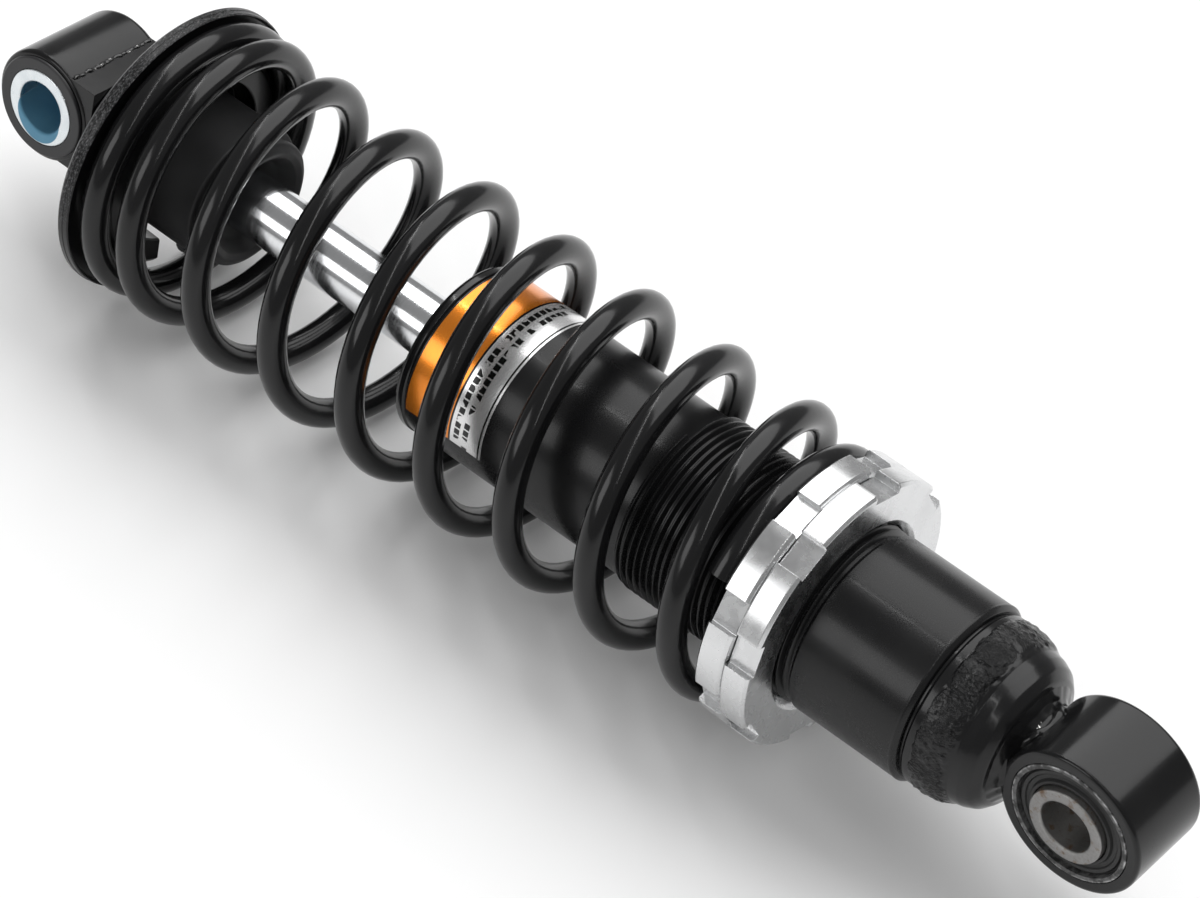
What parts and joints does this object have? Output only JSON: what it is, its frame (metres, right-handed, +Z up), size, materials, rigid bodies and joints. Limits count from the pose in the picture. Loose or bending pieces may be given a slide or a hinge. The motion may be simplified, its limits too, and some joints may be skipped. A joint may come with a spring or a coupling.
{
  "type": "rear shock",
  "caption": "Coil spring over a gas damper with an eye at each end, a threaded preload ring with a lock ring, a bump stop and a chromed rod.",
  "frame": {"origin": "centre of the body eye's bolt bore", "axes": "+X along the damper from the rod eye towards the body eye, Y along the body eye's bolt, +Z up with the shock lying on its side"},
  "size_m": [0.3154, 0.0694, 0.0693],
  "materials": {
    "satin_black_tube": "satin black paint, fine threads showing a little bare metal on their crests",
    "gloss_black_cap": "gloss black",
    "seal_rubber": "black nitrile rubber",
    "label_film": "printed metallised film: an orange band beside a silver band with rows of plain bars",
    "guide_aluminium": "turned",
    "bronze_bushing": "bronze backed bushing",
    "spring_steel": "hardened strip",
    "satin_black_cast": "black powder coat over welded steel",
    "bush_steel": "thin steel edge, painted over",
    "bush_rubber": "moulded black rubber",
    "coated_spring": "semi-gloss black coating",
    "nut_aluminium": "bright turned and milled",
    "retainer_black": "black coat, scuffed at its edge",
    "bush_plastic": "black flanged plastic bush",
    "phosphated_steel": "dark phosphated steel",
    "chromed_rod": "hard chrome",
    "bump_rubber": "matt black elastomer",
    "plain_steel": "plain steel",
    "sintered_piston": "sintered iron",
    "band_plastic": "dark filled PTFE",
    "zinc_sleeve": "blue passivated zinc plate",
    "sleeve_steel": "dull steel with a little rust"
  },
  "bodies": {
    "damper_body": {"damper_tube": "satin_black_tube", "tube_cap": "gloss_black_cap", "dust_wiper": "seal_rubber", "label_wrap": "label_film", "rod_guide": "guide_aluminium", "guide_bushing": "bronze_bushing", "oil_seal": "seal_rubber", "guide_o_ring": "seal_rubber", "guide_circlip": "spring_steel", "tube_end_cap": "satin_black_cast", "body_eye": "satin_black_cast", "eye_bush_shell": "bush_steel", "eye_rubber": "bush_rubber"},
    "spring": {"main_spring": "coated_spring"},
    "adjuster": {"adjuster_nut": "nut_aluminium"},
    "locking_ring": {"lock_nut": "nut_aluminium"},
    "retainer": {"spring_retainer": "retainer_black"},
    "rod_assembly": {"rod_eye": "satin_black_cast", "rod_eye_bushes": "bush_plastic", "rod_end_nut": "phosphated_steel", "piston_rod": "chromed_rod", "bump_stop": "bump_rubber", "topout_bumper": "bump_rubber", "backing_washer": "plain_steel", "compression_shims": "spring_steel", "piston": "sintered_piston", "piston_band": "band_plastic", "rebound_shims": "spring_steel", "clamp_washer": "plain_steel", "piston_nut": "plain_steel"},
    "rod_sleeve": {"rod_eye_sleeve": "zinc_sleeve"},
    "body_sleeve": {"body_eye_sleeve": "sleeve_steel"},
    "free_piston": {"floating_piston": "guide_aluminium", "floating_piston_o_ring": "seal_rubber"}
  },
  "joints": [
    {"name": "damper_stroke", "type": "slide", "parent": "damper_body", "child": "retainer", "axis": [1, 0, 0], "range_m": [0, 0.0575], "stiffness_N_per_m": 9000, "springref_m": -0.004, "deforming": ["main_spring"]},
    {"name": "rod_swivel", "type": "hinge", "parent": "retainer", "child": "rod_assembly", "pos_m": [-0.26, 0, 0], "axis": [1, 0, 0], "continuous": true},
    {"name": "rod_eye_sleeve_turn", "type": "hinge", "parent": "rod_assembly", "child": "rod_sleeve", "pos_m": [-0.285, 0, 0], "axis": [0, 0.9848, -0.1736], "continuous": true},
    {"name": "body_eye_sleeve_twist", "type": "hinge", "parent": "damper_body", "child": "body_sleeve", "pos_m": [0, 0, 0], "axis": [0, 1, 0], "range_deg": [-15, 15], "stiffness_Nm_per_rad": 30},
    {"name": "preload_travel", "type": "slide", "parent": "damper_body", "child": "spring", "axis": [1, 0, 0], "range_m": [0, 0.00165]},
    {"name": "adjuster_turn", "type": "hinge", "parent": "spring", "child": "adjuster", "pos_m": [-0.076, 0, 0], "axis": [1, 0, 0], "range_deg": [0, 340]},
    {"name": "lock_nut_turn", "type": "hinge", "parent": "adjuster", "child": "locking_ring", "pos_m": [-0.0696, 0, 0], "axis": [1, 0, 0], "range_deg": [0, 60]},
    {"name": "free_piston_travel", "type": "slide", "parent": "damper_body", "child": "free_piston", "axis": [1, 0, 0], "range_m": [0, 0.0087]}
  ],
  "couplings": [
    {"joint": "adjuster_turn", "follows": "preload_travel", "rad_per_m": 3590.4},
    {"joint": "free_piston_travel", "follows": "damper_stroke", "ratio": 0.15124}
  ]
}
